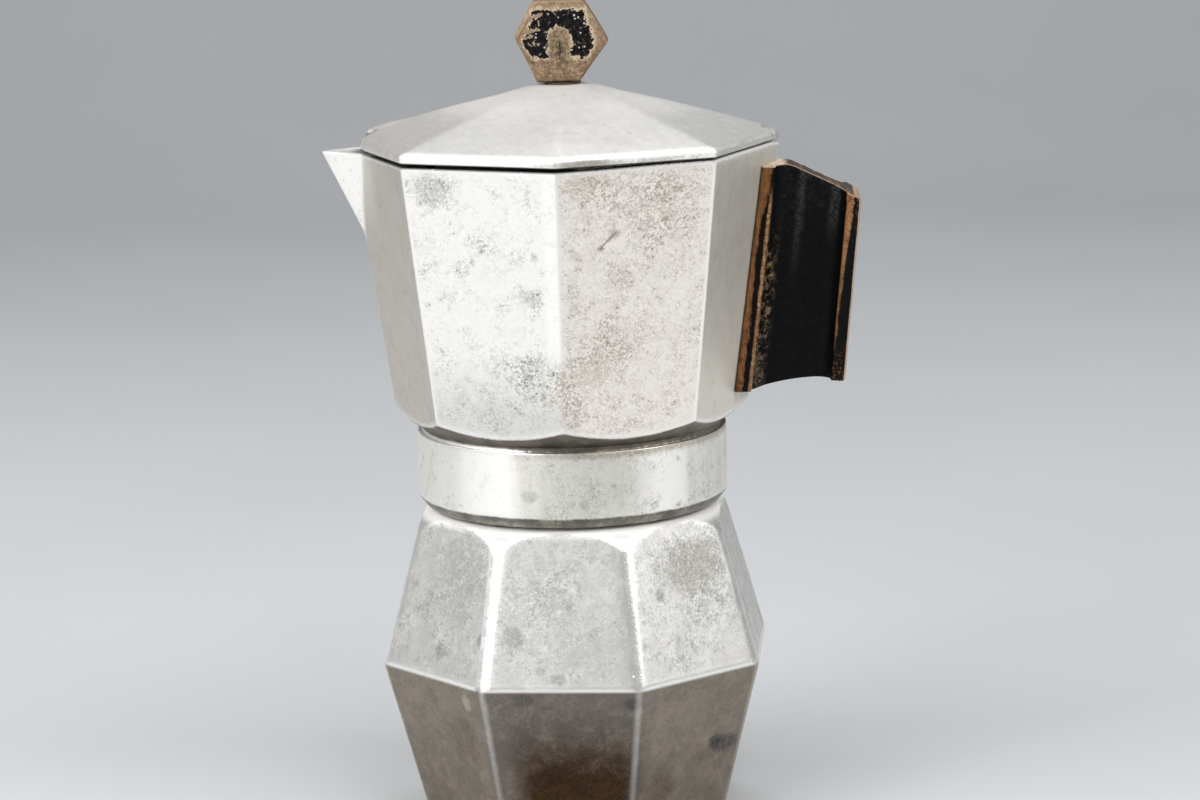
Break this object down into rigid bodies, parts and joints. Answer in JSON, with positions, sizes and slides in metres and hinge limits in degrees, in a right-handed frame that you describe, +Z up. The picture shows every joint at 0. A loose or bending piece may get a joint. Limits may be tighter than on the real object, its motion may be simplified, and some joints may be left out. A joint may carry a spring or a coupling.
{
  "type": "moka pot",
  "caption": "Octagonal stove-top coffee pot: boiler with safety valve, funnel, filter, screw-on collector with spout and handle, hinged lid with hexagonal knob.",
  "frame": {"origin": "centre of the boiler's flat base, on the pot's turning axis", "axes": "+Z up along the pot's axis; +X towards the handle, so the spout points to -X"},
  "size_m": [0.1391, 0.1102, 0.2109],
  "materials": {
    "boiler_cast": "aged cast aluminium, mottled grey oxide, polished corners",
    "collector_cast": "aged cast aluminium, speckled, brighter near the rim",
    "lid_cast": "aged cast aluminium, smooth",
    "sheet_aluminium": "spun sheet aluminium",
    "bakelite": "black bakelite worn to brown along its edges",
    "knob_bakelite": "worn bakelite, brown with black remnants",
    "valve_brass": "dull brass",
    "fastener_steel": "plain steel",
    "gasket_rubber": "off-white rubber",
    "washer_fibre": "red sealing washer"
  },
  "bodies": {
    "boiler_unit": {"boiler": "boiler_cast", "valve_body": "valve_brass", "valve_washer": "washer_fibre", "valve_nut": "valve_brass", "valve_seat": "valve_brass", "valve_spring": "fastener_steel"},
    "valve_plunger_unit": {"valve_plunger": "fastener_steel"},
    "funnel_unit": {"funnel": "sheet_aluminium", "funnel_sieve": "sheet_aluminium"},
    "seal_unit": {"gasket": "gasket_rubber", "filter_plate": "sheet_aluminium"},
    "collector_unit": {"collector": "collector_cast", "riser_column": "collector_cast", "column_cap": "sheet_aluminium", "hinge_pin": "fastener_steel", "handle": "bakelite", "handle_screw": "fastener_steel", "handle_washer": "fastener_steel"},
    "lid_unit": {"lid": "lid_cast", "knob": "knob_bakelite", "knob_insert": "valve_brass", "knob_washer": "fastener_steel", "knob_screw": "fastener_steel"}
  },
  "joints": [
    {"name": "funnel_lift", "type": "slide", "parent": "boiler_unit", "child": "funnel_unit", "axis": [0, 0, 1], "range_m": [0, 0.1]},
    {"name": "collector_rise", "type": "slide", "parent": "funnel_unit", "child": "seal_unit", "axis": [0, 0, 1], "range_m": [0, 0.009]},
    {"name": "collector_turn", "type": "hinge", "parent": "seal_unit", "child": "collector_unit", "pos_m": [0, 0, 0.1], "axis": [0, 0, 1], "range_deg": [0, 1080]},
    {"name": "lid_hinge", "type": "hinge", "parent": "collector_unit", "child": "lid_unit", "pos_m": [0.0526, 0, 0.1755], "axis": [0, 1, 0], "range_deg": [0, 110]},
    {"name": "valve_press", "type": "slide", "parent": "boiler_unit", "child": "valve_plunger_unit", "axis": [0.0506, 0.9647, 0.2586], "range_m": [0, 0.002], "stiffness_N_per_m": 400, "springref_m": -0.004, "deforming": ["valve_spring"]}
  ],
  "couplings": [
    {"joint": "collector_rise", "follows": "collector_turn", "m_per_rad": 0.00047746}
  ]
}
